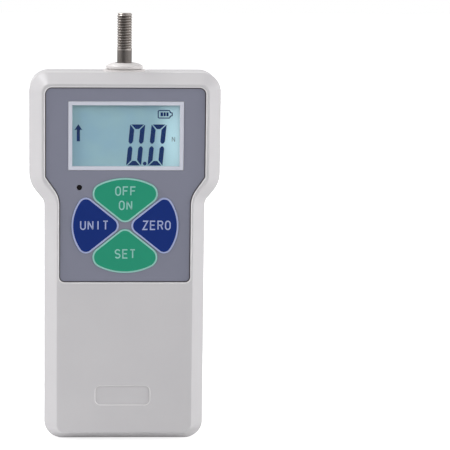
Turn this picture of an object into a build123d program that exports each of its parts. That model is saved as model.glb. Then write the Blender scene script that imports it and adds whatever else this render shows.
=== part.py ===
from build123d import *
import math
import os

# Hand-held digital force gauge: a two-shell housing round a display, four keys, an S-shaped
# load cell and the measuring shaft that pushes or pulls on it. Units are millimetres.
# +Z runs up the measuring shaft, the display faces -Y and +X is to the right of the display.
# The origin is the middle of the base, and the two shells meet on the plane Y = 0.

# ------------------------------------------------------------------ housing
body_height = 142.0
head_half_width = 36.5
grip_half_width = 30.75
half_depth = 18.0
wall = 2.4
shoulder_drop = 42.1         # from the head's top to the sloping shoulder
shoulder_rise = 6.9          # height of the slope
base_corner_radius = 6.8
kink_radius = 4.0
shoulder_radius = 11.0
head_corner_radius = 7.2
least_radius = 1.3           # a corner drawn inward keeps at least this radius

straight_depth = 10.0        # how far the side walls run straight from the joint plane
side_bevel = 4.85            # width of the sloping border on the two long sides
end_bevel = 3.9              # the same at the base and at the head's top
ridge_radius = 0.6           # softened edge between the border and the flat face

lip_width = 1.1
lip_height = 1.5
lip_gap = 0.1

near = 0.01                  # how close to a plane an edge must lie to be picked

rib_thickness = 1.2          # stiffening ribs inside the front of the grip
rib_height = 4.0
rib_rows = 4
rib_columns = 3

# ------------------------------------------------------------------ sunk front panel
panel_head_rim = 1.35        # flat rim left between the panel and the sloping border
panel_grip_rim = 0.95
panel_top_rim = 1.25
panel_base_margin = 3.5      # film below the lower key
panel_shoulder_lift = 2.4    # the panel's shoulder starts this much above the body's
panel_shoulder_rise = 7.6
panel_base_radius = 1.9
panel_kink_radius = 10.0
panel_shoulder_radius = 1.2
panel_head_radius = 2.5
recess_depth = 1.3
film_thickness = 0.5
film_gap = 0.1
recess_edge_radius = 0.5

label_centre = (-0.6, 18.5)
label_size = (20.95, 7.3)
label_radius = 2.0
label_depth = 0.5
label_edge_radius = 0.35

# ------------------------------------------------------------------ display
display_offset = 0.2
frame_size = (43.6, 26.05)
frame_border = 1.47
frame_thickness = 0.65
frame_chamfer = 0.15
frame_corner_radius = 0.4
window_overlap = 0.6         # how far the frame covers the window's edge
window_thickness = 1.0
window_gap = 0.1
glass_size = (45.6, 29.0)
glass_ledge = 2.0            # the rear glass plate is longer by this ledge of contacts
glass_thickness = 2.8
glass_gap = 0.85             # free space round the glass
fence_thickness = 0.7        # low ribs that hold the glass sideways
fence_height = 3.4
fence_length = 16.0
fence_gap = 0.15
backlight_margin = 0.8

# ------------------------------------------------------------------ keys
key_gap = 0.5
key_diagonal = 38.7          # slope of the gaps between the keys, in degrees
tall_reach = 18.25           # from the centre to the outer arc of the upper and lower keys
tall_arc = 22.5
tall_tip = 3.5
tall_corner = 4.1
wide_reach = 20.35           # the same for the left and right keys
wide_arc = 16.5
wide_tip = 3.4
wide_corner = 3.1
key_proud = 0.3              # how far a key stands out of the panel film
key_edge_radius = 0.2
key_flange = 0.8
key_flange_thickness = 0.9
key_clearance = 0.1
key_travel = 0.3
key_floor = 1.2              # floor of the key pockets
key_pad_margin = 0.4         # the pad behind the pockets reaches past the flanges by this
key_pad_radius = 6.0
key_pad_gap = 0.15
stem_radius = 2.5
stem_gap = 0.12
stem_reach = 0.8             # how far a stem comes out of the pad's back
tall_stem_inset = 7.05       # from the outer arc to the stem
wide_stem_inset = 7.95

# ------------------------------------------------------------------ main board and what it carries
board_thickness = 1.6
board_corner_radius = 1.5
board_top_gap = 1.2
board_side_gap = 0.7
board_post_radius = 2.0
board_post_gap = 0.6
board_screw_radius = 1.0
board_screw_head = (1.8, 1.3)
board_screw_length = 6.0
board_screw_skin = 0.6       # plastic left under a screw's pilot hole
upper_board_screw_x = 18.0
upper_board_screw_drop = 2.4
lower_board_screw_inset = 2.8
switch_side = 6.0
switch_height = 3.5
switch_corner_radius = 0.4
plunger_show = 1.0           # how far a plunger stands out of its switch
plunger_radius = 1.75
plunger_gap = 0.08
plunger_length = 3.3
led_x = -17.4
led_above_keys = 14.55
led_radius = 0.95
led_hole_gap = 0.1
led_body_radius = 1.5
led_sunk = 0.1
led_shoulder = 1.6           # from the panel's floor to the lamp's wider body
chip_thickness = 1.6
chip_edge = 0.25
processor_size = (14.0, 14.0)
processor_x = -10.5
processor_above_edge = 13.5
amplifier_size = (5.0, 6.5)
amplifier_gap = 1.1          # from the load cell's side to the amplifier chip

# ------------------------------------------------------------------ screws that join the shells
upper_screw_drop = 10.5
upper_post_gap = 1.3         # from the display glass to the upper posts
lower_screw_inset = 8.25
lower_screw_height = 8.6
screw_radius = 1.5
screw_pilot_gap = 0.05
screw_pilot_extra = 1.0
screw_pass_gap = 0.25
screw_head_radius = 2.8
screw_head_height = 2.2
screw_head_gap = 0.4
screw_sink = 9.0             # depth of the counterbore in the rear shell
screw_bite = 9.0             # how far a screw reaches into the front post
front_post_radius = 3.1
rear_post_radius = 4.1

# ------------------------------------------------------------------ load cell and measuring shaft
cell_drop = 11.0             # from the head's top to the load cell
cell_width = 32.0
cell_board_gap = 1.2         # from the main board's back to the load cell
cell_height = 40.0
cell_arm = 8.0
cell_slot = 1.5
cell_link = 6.0              # width of the uncut bridge beside each slot
cell_window = (19.0, 11.0)
cell_window_radius = 4.5
gauge_size = (3.6, 6.0)
gauge_thickness = 0.25
thread_gap = 0.05
shaft_radius = 2.83
thread_radius = 3.0
shaft_reach = 22.1           # from the head's top to the shaft's end
shaft_thread_length = 14.1
shaft_end_chamfer = 0.6
shaft_root = 7.0             # thread inside the load cell
nut_flats = 10.0
nut_height = 3.0

collar_bore_radius = 3.45
collar_base_radius = 8.0
collar_base_height = 0.7
collar_slit_radius = 6.0     # a thin slit parts the dome from the base ring
collar_slit_height = 0.4
collar_radius = 7.1
collar_height = 3.2
collar_dome = 1.15
collar_dome_shift = 0.3      # how far the dome's fullest point lies outside its middle
collar_neck_radius = 5.9
collar_neck_gap = 0.1
collar_grip_height = 1.2
collar_grip_slope = 0.9

# ------------------------------------------------------------------ bracket with the rear mounting threads
standoff_height = 2.0
standoff_radius = 3.0
bracket_plate = 3.0
bracket_side_margin = 3.7
bracket_corner_radius = 3.0
bracket_drop = 3.0           # from the load cell's top to the bracket's top
bracket_gap = 1.0            # from the bracket to the ear of the battery tray
shelf_thickness = 5.0
shelf_half_width = 15.0
gusset_thickness = 3.0
gusset_height = 12.0
gusset_depth = 11.0
mount_spacing_x = 26.0
mount_spacing_z = 44.0
mount_edge = 5.5
mount_boss_radius = 4.0
mount_boss_gap = 0.2
mount_hole_radius = 1.65
bracket_screw_spacing = (35.6, 25.0)
small_screw_radius = 1.45
small_screw_head = (2.7, 2.0)
small_screw_bite = 3.4
small_screw_extra = 0.2
cell_bolt_head = (5.0, 4.0)
cell_bolt_socket = 2.5
cell_bolt_bite = 6.5

# ------------------------------------------------------------------ battery
cell_count = 3
battery_radius = 7.1
battery_spacing = 0.3
battery_gap = 0.1
battery_edge = 0.6
contact_radius = 2.6
contact_height = 1.2
cradle_base = 1.6
cradle_rise = 5.0
cradle_end = 1.4
cradle_margin = 0.3
cradle_post_gap = 0.1
cradle_ear = 6.0
cradle_ear_half_width = 5.0
cradle_ear_radius = 1.0

# ------------------------------------------------------------------ sockets
jack_size = (12.4, 7.0, 6.6)
jack_above_screw = 8.2       # from the lower board screws to the charger socket
jack_hole_radius = 1.85
jack_hole_depth = 9.5
jack_pin_radius = 0.65
jack_pin_length = 7.5
jack_opening_radius = 3.05
port_size = (9.2, 3.9, 7.7)
port_gap = 3.3               # from the charger socket to the data port
port_sheet = 0.4
port_radius = 0.9
port_tongue = (6.0, 0.9, 5.2)
port_opening_gap = 0.35
socket_setback = 0.15        # gap between a socket's face and the inner side of the wall

# ------------------------------------------------------------------ derived depths (Y)
recess_floor = -half_depth + recess_depth
film_face = recess_floor - film_thickness
inner_face = half_depth - wall
standoff_face = inner_face - standoff_height
key_flange_front = recess_floor + key_clearance
key_flange_back = key_flange_front + key_flange_thickness
key_pocket_floor = key_flange_back + key_travel + key_clearance
key_pad_back = key_pocket_floor + key_floor
plunger_tip = key_pad_back + stem_reach
board_front = plunger_tip + plunger_show + switch_height
board_back = board_front + board_thickness
cell_thickness = -2 * (board_back + cell_board_gap)
battery_axis = standoff_face - cradle_base - battery_gap - battery_radius
socket_face = grip_half_width - wall - socket_setback

# ------------------------------------------------------------------ derived places (X and Z)
shoulder_high = body_height - shoulder_drop
shoulder_low = shoulder_high - shoulder_rise
panel_head_half = head_half_width - side_bevel - panel_head_rim
panel_grip_half = grip_half_width - side_bevel - panel_grip_rim
panel_top = body_height - end_bevel - panel_top_rim
panel_shoulder_low = shoulder_low + panel_shoulder_lift
panel_shoulder_high = panel_shoulder_low + panel_shoulder_rise

board_top = body_height - wall - board_top_gap
upper_board_screw = (upper_board_screw_x, board_top - upper_board_screw_drop)
display_height = upper_board_screw[1] - board_post_radius - glass_gap - glass_size[1] / 2
display_centre = (display_offset, display_height)
key_pad_half_x = wide_reach + key_flange + key_clearance + key_pad_margin
key_pad_half_z = tall_reach + key_flange + key_clearance + key_pad_margin
key_height = display_height - glass_size[1] / 2 - key_pad_gap - key_pad_half_z
panel_bottom = key_height - tall_reach - panel_base_margin
led_centre = (led_x, key_height + led_above_keys)

upper_screw = (
    glass_size[0] / 2 + upper_post_gap + front_post_radius,
    body_height - upper_screw_drop,
)
lower_screw = (grip_half_width - lower_screw_inset, lower_screw_height)
board_half_width = upper_screw[0] - front_post_radius - board_side_gap
lower_board_screw = (
    board_half_width - lower_board_screw_inset,
    key_height - key_pad_half_z - board_post_gap - board_post_radius,
)
board_bottom = lower_board_screw[1] - lower_board_screw_inset

cell_top = body_height - cell_drop
cell_bottom = cell_top - cell_height
shaft_bottom = cell_top - shaft_root
shaft_top = body_height + shaft_reach
processor_centre = (processor_x, board_bottom + processor_above_edge)
amplifier_centre = (-(cell_width + amplifier_size[0]) / 2 - amplifier_gap, cell_bottom + cell_height / 2)

battery_pitch = 2 * battery_radius + battery_spacing
battery_start = lower_screw[1] + rear_post_radius + cradle_post_gap + cradle_end
cradle_low = battery_start - cradle_end
bracket_top = cell_top - bracket_drop
bracket_bottom = bracket_top - mount_spacing_z - 2 * mount_edge
cradle_high = bracket_bottom - bracket_gap - cradle_ear
battery_length = cradle_high - cradle_end - 2 * battery_gap - contact_height - battery_start
bracket_half_width = bracket_screw_spacing[0] / 2 + bracket_side_margin
mount_height = (bracket_bottom + bracket_top) / 2
jack_height = lower_board_screw[1] + jack_above_screw
port_height = jack_height + (jack_size[2] + port_size[2]) / 2 + port_gap


# ------------------------------------------------------------------ helpers
def depth_plane(y):
    """Sketch plane at the depth y, with its own axes along X and Z and its normal along -Y."""
    return Plane(origin=(0, y, 0), x_dir=(1, 0, 0), z_dir=(0, -1, 0))


def slab(sketch, back, front):
    """Solid of a sketch drawn in X and Z, from the depth back forward to the depth front."""
    return extrude(depth_plane(back) * sketch, amount=back - front)


def pin_y(place, radius, back, front):
    """Cylinder along Y at the given X and Z."""
    return slab(Pos(*place) * Circle(radius), back, front)


def pin_z(radius, low, high, place=(0, 0)):
    """Cylinder along Z at the given X and Y."""
    return extrude(Plane.XY.offset(low) * Pos(*place) * Circle(radius), amount=high - low)


def pin_x(radius, start, end, place):
    """Cylinder along X at the given Y and Z."""
    plane = Plane(origin=(start, *place), x_dir=(0, 1, 0), z_dir=(1, 0, 0))
    return extrude(plane * Circle(radius), amount=end - start)


def four_corners(half_x, half_z, centre=(0, 0)):
    """The four corners of a rectangle, as X and Z pairs."""
    return [(centre[0] + sx * half_x, centre[1] + sz * half_z) for sx in (-1, 1) for sz in (-1, 1)]


def mirrored(place):
    """A place and its mirror image across the middle plane."""
    return [(side * place[0], place[1]) for side in (-1, 1)]


def write(part, node):
    """Write one sub-part to its own STEP file."""
    part.label = node
    export_step(part, f"parts/{node}.step")


# ------------------------------------------------------------------ outlines
def stepped_outline(head, grip, bottom, low, high, top, radii):
    """Face with a narrow grip that widens through sloping shoulders to a wider head."""
    right = [(grip, bottom), (grip, low), (head, high), (head, top)]
    left = [(-x, z) for x, z in reversed(right)]
    loop = FilletPolyline(*right, *left, radius=list(radii) + list(reversed(radii)), close=True)
    return make_face(loop)


def body_outline(side, end):
    """The body's outline, drawn inward by side along its sides and by end at its two ends."""
    slope = (shoulder_high - shoulder_low) / (head_half_width - grip_half_width)
    lift = side * (math.hypot(1, slope) - slope)
    radii = [
        max(base_corner_radius - min(side, end), least_radius),
        kink_radius + side,
        max(shoulder_radius - side, least_radius),
        max(head_corner_radius - min(side, end), least_radius),
    ]
    return stepped_outline(
        head_half_width - side,
        grip_half_width - side,
        end,
        shoulder_low + lift,
        shoulder_high + lift,
        body_height - end,
        radii,
    )


def panel_outline(grow):
    """Outline of the sunk front panel, drawn outward by grow."""
    radii = [
        panel_base_radius + grow,
        panel_kink_radius - grow,
        panel_shoulder_radius + grow,
        panel_head_radius + grow,
    ]
    return stepped_outline(
        panel_head_half + grow,
        panel_grip_half + grow,
        panel_bottom - grow,
        panel_shoulder_low,
        panel_shoulder_high,
        panel_top + grow,
        radii,
    )


def petal(half_angle, reach, arc, tip, corner, grow):
    """Key outline along +X: a wedge with a rounded tip and corners, closed by an arc."""
    start = (key_gap / 2 - grow) / math.sin(math.radians(half_angle))
    slope = math.tan(math.radians(half_angle))
    arc_centre = reach - arc
    square = 1 + slope**2
    half_sum = (arc_centre + slope**2 * start) / square
    rest = (arc_centre**2 + (slope * start) ** 2 - (arc + grow) ** 2) / square
    end = half_sum + math.sqrt(half_sum**2 - rest)
    upper = (end, slope * (end - start))
    lower = (end, -slope * (end - start))
    sides = Polyline(upper, (start, 0), lower)
    outer = ThreePointArc(lower, (reach + grow, 0), upper)
    face = make_face(sides + outer)
    corners = face.vertices().sort_by(Axis.X)
    face = fillet(corners[0], radius=tip + grow)
    ends = face.vertices().group_by(Axis.X)[-1]
    return fillet(ends, radius=corner + grow)


def tall_petal(grow=0.0, flange=0.0):
    """Outline of the upper key, pointing up from the middle of the four keys."""
    face = petal(90 - key_diagonal, tall_reach + flange, tall_arc + flange, tall_tip, tall_corner, grow)
    return Rot(0, 0, 90) * face


def wide_petal(grow=0.0, flange=0.0):
    """Outline of the right key, pointing right from the middle of the four keys."""
    return petal(key_diagonal, wide_reach + flange, wide_arc + flange, wide_tip, wide_corner, grow)


def key_outline(name, grow=0.0, flange=0.0):
    """Outline of one key in its place on the panel."""
    shape, turn = key_shapes[name]
    return Pos(0, key_height) * Rot(0, 0, turn) * shape(grow, flange)


key_shapes = {
    "key_on_off": (tall_petal, 0),
    "key_set": (tall_petal, 180),
    "key_zero": (wide_petal, 0),
    "key_unit": (wide_petal, 180),
}
stem_places = {
    "key_on_off": (0, key_height + tall_reach - tall_stem_inset),
    "key_set": (0, key_height - tall_reach + tall_stem_inset),
    "key_zero": (wide_reach - wide_stem_inset, key_height),
    "key_unit": (wide_stem_inset - wide_reach, key_height),
}


# ------------------------------------------------------------------ housing
def bevel_inset(bevel, depth):
    """Inset of the inner side of the sloping border, one wall inside its outer side."""
    run = half_depth - straight_depth
    length = math.hypot(bevel, run)
    start_depth = straight_depth - wall * bevel / length
    start_inset = wall * run / length
    return start_inset + bevel * (depth - start_depth) / run


def half_block():
    """Outer form of the front half: straight sides, a sloping border and a flat face."""
    straight = slab(body_outline(0, 0), 0, -straight_depth)
    border = loft(
        [
            depth_plane(-straight_depth) * body_outline(0, 0),
            depth_plane(-half_depth) * body_outline(side_bevel, end_bevel),
        ],
        ruled=True,
    )
    block = straight + border
    ridge = [edge for edge in block.edges() if abs(edge.center().Y + half_depth) < near]
    bend = [edge for edge in block.edges() if abs(edge.center().Y + straight_depth) < near]
    return fillet(ridge + bend, radius=ridge_radius)


def half_cavity():
    """Space inside the front half, one wall inside its outer form."""
    bend_depth = straight_depth - wall * math.tan(math.atan2(side_bevel, half_depth - straight_depth) / 2)
    straight = slab(body_outline(wall, wall), 0, -bend_depth)
    border = loft(
        [
            depth_plane(-bend_depth) * body_outline(wall, wall),
            depth_plane(-inner_face)
            * body_outline(bevel_inset(side_bevel, inner_face), bevel_inset(end_bevel, inner_face)),
        ],
        ruled=True,
    )
    return straight + border


def to_rear(part):
    """The mirror image of a front form across the joint plane."""
    return mirror(part, about=Plane.XZ)


def screw_places():
    """X and Z of the four screws that join the shells."""
    return mirrored(upper_screw) + mirrored(lower_screw)


def board_screw_places():
    """X and Z of the four screws that hold the main board."""
    return mirrored(upper_board_screw) + mirrored(lower_board_screw)


def collar_hole():
    """Round hole in the head's top for the shaft collar."""
    radius = collar_neck_radius + collar_neck_gap
    return pin_z(radius, body_height - 2 * wall, body_height + wall)


def socket_openings():
    """Holes in the right side wall for the charger plug and the data plug."""
    inside = grip_half_width - 2 * wall
    outside = grip_half_width + wall
    jack_y = board_back + jack_size[1] / 2
    jack = pin_x(jack_opening_radius, inside, outside, (jack_y, jack_height))
    port_y = board_back + port_size[1] / 2
    plane = Plane(origin=(inside, port_y, port_height), x_dir=(0, 1, 0), z_dir=(1, 0, 0))
    gap = 2 * port_opening_gap
    shape = RectangleRounded(port_size[1] + gap, port_size[2] + gap, port_radius + port_opening_gap)
    return jack + extrude(plane * shape, amount=outside - inside)


def front_ribs():
    """Grid of low stiffening ribs inside the front of the grip, below the main board."""
    low = lower_screw[1] + front_post_radius
    high = board_bottom - rib_thickness
    half = grip_half_width - side_bevel
    rows = [low + (high - low) * (row + 0.5) / rib_rows for row in range(rib_rows)]
    columns = [half * (2 * (column + 0.5) / rib_columns - 1) for column in range(rib_columns)]
    grid = Sketch()
    for z in rows:
        grid += Pos(0, z) * Rectangle(2 * half, rib_thickness)
    for x in columns:
        grid += Pos(x, (low + high) / 2) * Rectangle(rib_thickness, high - low)
    return slab(grid, rib_height - inner_face, -inner_face)


def glass_fences():
    """Two low ribs beside the display glass."""
    offset = glass_size[0] / 2 + fence_gap + fence_thickness / 2
    fence = Rectangle(fence_thickness, fence_length)
    fences = Pos(display_offset - offset, display_height) * fence
    fences += Pos(display_offset + offset, display_height) * fence
    return slab(fences, fence_height - inner_face, -inner_face)


def face_edges(shell, half_width, low, high):
    """Edges on the front face within half_width of the middle and between two heights."""
    reach = 2 * film_gap
    edges = [edge for edge in shell.edges() if abs(edge.center().Y + half_depth) < near]
    edges = [edge for edge in edges if abs(edge.center().X) < half_width + reach]
    return [edge for edge in edges if low - reach < edge.center().Z < high + reach]


def front_shell():
    """Front half of the housing: sunk panel, openings, key pockets and screw posts."""
    cavity = half_cavity()
    block = half_block()
    shell = block - cavity

    lip_ring = body_outline(wall - lip_width, wall - lip_width) - body_outline(wall, wall)
    shell += slab(lip_ring, lip_height, 0)

    pad = Pos(0, key_height) * RectangleRounded(2 * key_pad_half_x, 2 * key_pad_half_z, key_pad_radius)
    inside = slab(pad, key_pad_back, -inner_face) + front_ribs() + glass_fences()
    inside += [pin_y(place, front_post_radius, 0, -inner_face) for place in screw_places()]
    inside += [pin_y(place, board_post_radius, board_front, -inner_face) for place in board_screw_places()]
    shell += inside & cavity

    shell -= slab(panel_outline(film_gap), recess_floor, -half_depth)
    rim = face_edges(shell, panel_head_half, panel_bottom, panel_top)
    shell = fillet(rim, radius=recess_edge_radius)

    label = RectangleRounded(*label_size, label_radius)
    shell -= slab(Pos(*label_centre) * label, -half_depth + label_depth, -half_depth)
    label_low = label_centre[1] - label_size[1] / 2
    rim = face_edges(shell, label_size[0] / 2 + abs(label_centre[0]), label_low, label_low + label_size[1])
    shell = fillet(rim, radius=label_edge_radius)

    for name in key_shapes:
        shell -= slab(key_outline(name, key_clearance, key_flange), key_pocket_floor, recess_floor)
        shell -= pin_y(stem_places[name], stem_radius + stem_gap, key_pad_back, key_pocket_floor)

    opening = frame_size[0] - 2 * (frame_border - window_overlap) + 2 * window_gap
    opening_height = frame_size[1] - 2 * (frame_border - window_overlap) + 2 * window_gap
    shell -= slab(Pos(*display_centre) * Rectangle(opening, opening_height), -inner_face, recess_floor)
    shell -= pin_y(led_centre, led_radius + led_hole_gap, key_pad_back, recess_floor)

    for place in screw_places():
        shell -= pin_y(place, screw_radius + screw_pilot_gap, 0, -screw_bite - screw_pilot_extra)
    for place in board_screw_places():
        deepest = board_screw_skin - inner_face
        shell -= pin_y(place, board_screw_radius + screw_pilot_gap, board_front, deepest)
    return shell - collar_hole() - socket_openings()


def rear_shell():
    """Rear half of the housing: counterbored screw posts and holes for the mounting bosses."""
    cavity = to_rear(half_cavity())
    shell = to_rear(half_block()) - cavity

    rebate_outer = body_outline(wall - lip_width - lip_gap, wall - lip_width - lip_gap)
    shell -= slab(rebate_outer - body_outline(wall, wall), lip_height + lip_gap, 0)

    posts = [pin_y(place, rear_post_radius, inner_face, 0) for place in screw_places()]
    posts += [pin_y(place, standoff_radius, inner_face, standoff_face) for place in small_screw_places()]
    shell += (Part() + posts) & cavity

    for place in screw_places():
        shell -= pin_y(place, screw_radius + screw_pass_gap, half_depth, 0)
        shell -= pin_y(place, screw_head_radius + screw_head_gap, half_depth, half_depth - screw_sink)
    for place in small_screw_places():
        deepest = standoff_face + small_screw_bite + small_screw_extra
        shell -= pin_y(place, small_screw_radius + screw_pilot_gap, deepest, standoff_face)
    for place in mount_places():
        shell -= pin_y(place, mount_boss_radius + mount_boss_gap, half_depth, inner_face)
    return shell - collar_hole() - socket_openings()


def panel_film():
    """Printed film that fills the sunk panel and keeps the keys in."""
    film = slab(panel_outline(0), recess_floor, film_face)
    hole = Rectangle(frame_size[0] + 2 * film_gap, frame_size[1] + 2 * film_gap)
    film -= slab(Pos(*display_centre) * hole, recess_floor, film_face)
    film -= pin_y(led_centre, led_radius + led_hole_gap, recess_floor, film_face)
    for name in key_shapes:
        film -= slab(key_outline(name, key_clearance), recess_floor, film_face)
    return film


def housing_screws():
    """Four screws from the rear shell into the front posts."""
    seat = half_depth - screw_sink
    screws = []
    for place in screw_places():
        head = pin_y(place, screw_head_radius, seat + screw_head_height, seat)
        screws.append(head + pin_y(place, screw_radius, seat, -screw_bite))
    return Compound(children=screws)


# ------------------------------------------------------------------ display
def display_frame():
    """Pale frame that rims the display and covers the window's edge."""
    inner = (frame_size[0] - 2 * frame_border, frame_size[1] - 2 * frame_border)
    ring = RectangleRounded(*frame_size, frame_corner_radius) - Rectangle(*inner)
    frame = slab(Pos(*display_centre) * ring, recess_floor, recess_floor - frame_thickness)
    front = [edge for edge in frame.edges() if edge.center().Y < recess_floor - frame_thickness + 0.01]
    return chamfer(front, length=frame_chamfer)


def display_window():
    """Clear window under the frame."""
    cover = 2 * (frame_border - window_overlap)
    plate = Rectangle(frame_size[0] - cover, frame_size[1] - cover)
    return slab(Pos(*display_centre) * plate, recess_floor + window_thickness, recess_floor)


def display_glass():
    """Liquid-crystal glass: a front plate on a longer rear plate that carries the contacts."""
    front = -inner_face
    middle = front + glass_thickness / 2
    back = front + glass_thickness
    upper = Pos(display_offset, display_height + glass_ledge / 2)
    short = upper * Rectangle(glass_size[0], glass_size[1] - glass_ledge)
    full = Pos(*display_centre) * Rectangle(*glass_size)
    return slab(short, middle, front) + slab(full, back, middle)


def backlight():
    """Light block between the glass and the main board."""
    width, height = (size - 2 * backlight_margin for size in glass_size)
    plate = Pos(*display_centre) * Rectangle(width, height)
    return slab(plate, board_front, -inner_face + glass_thickness)


# ------------------------------------------------------------------ keys and their switches
def key_cap(name):
    """One key: a petal-shaped face, a flange under the film and a stem down to its switch."""
    cap = slab(key_outline(name), key_flange_back, film_face - key_proud)
    front = [edge for edge in cap.edges() if edge.center().Y < film_face - key_proud + 0.01]
    cap = fillet(front, radius=key_edge_radius)
    flange = slab(key_outline(name, 0.0, key_flange), key_flange_back, key_flange_front)
    stem = pin_y(stem_places[name], stem_radius, plunger_tip, key_flange_back)
    return cap + flange + stem


def switch_plunger(place):
    """Button of one switch, which the key's stem rests on."""
    return pin_y(place, plunger_radius, plunger_tip + plunger_length, plunger_tip)


def key_switches():
    """Four switch bodies on the main board, each with a round well for its button."""
    bodies = []
    for place in stem_places.values():
        square = RectangleRounded(switch_side, switch_side, switch_corner_radius)
        front = board_front - switch_height
        deepest = plunger_tip + plunger_length + key_travel + key_clearance
        body = slab(Pos(*place) * square, board_front, front)
        bodies.append(body - pin_y(place, plunger_radius + plunger_gap, deepest, front))
    return Compound(children=bodies)


# ------------------------------------------------------------------ main board
def main_board():
    """Circuit board behind the display and the keys."""
    height = board_top - board_bottom
    centre = (0, board_bottom + height / 2)
    shape = RectangleRounded(2 * board_half_width, height, board_corner_radius)
    board = slab(Pos(*centre) * shape, board_back, board_front)
    for place in board_screw_places():
        board -= pin_y(place, board_screw_radius + screw_pass_gap, board_back, board_front)
    return board


def board_screws():
    """Four screws through the main board into the front shell."""
    head_radius, head_height = board_screw_head
    screws = []
    for place in board_screw_places():
        head = pin_y(place, head_radius, board_back + head_height, board_back)
        screws.append(head + pin_y(place, board_screw_radius, board_back, board_back - board_screw_length))
    return Compound(children=screws)


def status_led():
    """Indicator lamp on the board, with its tip just inside the film's hole."""
    shoulder = key_pad_back + led_shoulder
    body = pin_y(led_centre, led_body_radius, board_front, shoulder)
    return body + pin_y(led_centre, led_radius, shoulder, film_face + led_sunk)


def chip(centre, size):
    """Integrated circuit on the back of the main board."""
    package = slab(Pos(*centre) * Rectangle(*size), board_back + chip_thickness, board_back)
    outer = [edge for edge in package.edges() if edge.center().Y > board_back + chip_thickness - 0.01]
    return chamfer(outer, length=chip_edge)


# ------------------------------------------------------------------ sockets
def charger_jack():
    """Charger socket block on the back of the board, open towards the right side wall."""
    length, depth, height = jack_size
    centre = (socket_face - length / 2, board_back + depth / 2, jack_height)
    block = Pos(*centre) * Box(length, depth, height)
    return block - pin_x(jack_hole_radius, socket_face - jack_hole_depth, socket_face, centre[1:])


def charger_pin():
    """Centre pin of the charger socket, fixed in the block behind the hole."""
    base = socket_face - jack_hole_depth
    pin = pin_x(jack_pin_radius, base, base + jack_pin_length, (board_back + jack_size[1] / 2, jack_height))
    tip = pin.edges().group_by(Axis.X)[-1]
    return fillet(tip, radius=jack_pin_radius * 0.6)


def port_profile(shrink):
    """Section of the data port's metal shell, in Y and Z."""
    return RectangleRounded(port_size[1] - 2 * shrink, port_size[2] - 2 * shrink, port_radius - shrink)


def data_port():
    """Folded metal shell of the data port."""
    plane = Plane(
        origin=(socket_face - port_size[0], board_back + port_size[1] / 2, port_height),
        x_dir=(0, 1, 0),
        z_dir=(1, 0, 0),
    )
    shell = extrude(plane * port_profile(0), amount=port_size[0])
    return shell - extrude(plane.offset(port_sheet) * port_profile(port_sheet), amount=port_size[0])


def port_tongue_block():
    """Plastic tongue inside the data port."""
    length, thickness, width = port_tongue
    middle = socket_face - port_size[0] + port_sheet + length / 2
    return Pos(middle, board_back + port_size[1] / 2, port_height) * Box(length, thickness, width)


# ------------------------------------------------------------------ load cell and measuring shaft
def load_cell():
    """S-shaped bending beam: two opposed slots and a rounded window between them."""
    middle = cell_bottom + cell_height / 2
    block = Pos(0, middle) * Rectangle(cell_width, cell_height)
    reach = cell_width - cell_link
    upper = Pos(-cell_link / 2, cell_top - cell_arm - cell_slot / 2) * Rectangle(reach, cell_slot)
    lower = Pos(cell_link / 2, cell_bottom + cell_arm + cell_slot / 2) * Rectangle(reach, cell_slot)
    window = Pos(0, middle) * RectangleRounded(*cell_window, cell_window_radius)
    beam = slab(block - upper - lower - window, cell_thickness / 2, -cell_thickness / 2)
    beam -= pin_z(thread_radius + thread_gap, cell_top - cell_arm, cell_top)
    return beam - pin_z(thread_radius + thread_gap, cell_bottom, cell_bottom + cell_arm)


def strain_gauges():
    """Four strain gauges on the window's upper and lower faces."""
    middle = cell_bottom + cell_height / 2
    half = cell_window[1] / 2
    offset = cell_window[0] / 2 - cell_window_radius - gauge_size[0] / 2
    pads = []
    for x in (-offset, offset):
        for level in (middle + half - gauge_thickness, middle - half):
            plane = Plane.XY.offset(level)
            pads.append(extrude(plane * Pos(x, 0) * Rectangle(*gauge_size), amount=gauge_thickness))
    return Compound(children=pads)


def measuring_shaft():
    """Steel shaft: root in the load cell, plain neck and a threaded end for the adapters."""
    thread_start = shaft_top - shaft_thread_length
    root = pin_z(thread_radius, shaft_bottom, cell_top + nut_height)
    neck = pin_z(shaft_radius, cell_top + nut_height, thread_start)
    thread = pin_z(thread_radius, thread_start, shaft_top)
    thread = chamfer(thread.edges().group_by(Axis.Z)[-1], length=shaft_end_chamfer)
    return root + neck + thread


def shaft_lock_nut():
    """Thin nut that locks the shaft on the load cell's top."""
    hexagon = RegularPolygon(nut_flats / 2, 6, major_radius=False)
    nut = extrude(Plane.XY.offset(cell_top) * hexagon, amount=nut_height)
    return nut - pin_z(thread_radius + thread_gap, cell_top, cell_top + nut_height)


def shaft_collar():
    """Plastic collar clipped into the head's top, turned from one profile."""
    top = body_height + collar_height
    under = body_height - wall
    base_top = body_height + collar_base_height
    dome_low = base_top + collar_slit_height
    profile = Polyline(
        (collar_bore_radius, under - collar_grip_height),
        (collar_base_radius - collar_grip_slope, under - collar_grip_height),
        (collar_base_radius, under - collar_grip_height / 2),
        (collar_base_radius, under),
        (collar_neck_radius, under),
        (collar_neck_radius, body_height),
        (collar_base_radius, body_height),
        (collar_base_radius, base_top),
        (collar_slit_radius, base_top),
        (collar_slit_radius, dome_low),
        (collar_radius, dome_low),
        (collar_radius, top - collar_dome),
    )
    dome = ThreePointArc(
        (collar_radius, top - collar_dome),
        ((collar_radius + collar_bore_radius) / 2 + collar_dome_shift, top - collar_dome / 4),
        (collar_bore_radius, top),
    )
    bore = Line((collar_bore_radius, top), (collar_bore_radius, under - collar_grip_height))
    section = Plane.XZ * make_face(profile + dome + bore)
    return revolve(section, axis=Axis.Z)


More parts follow.
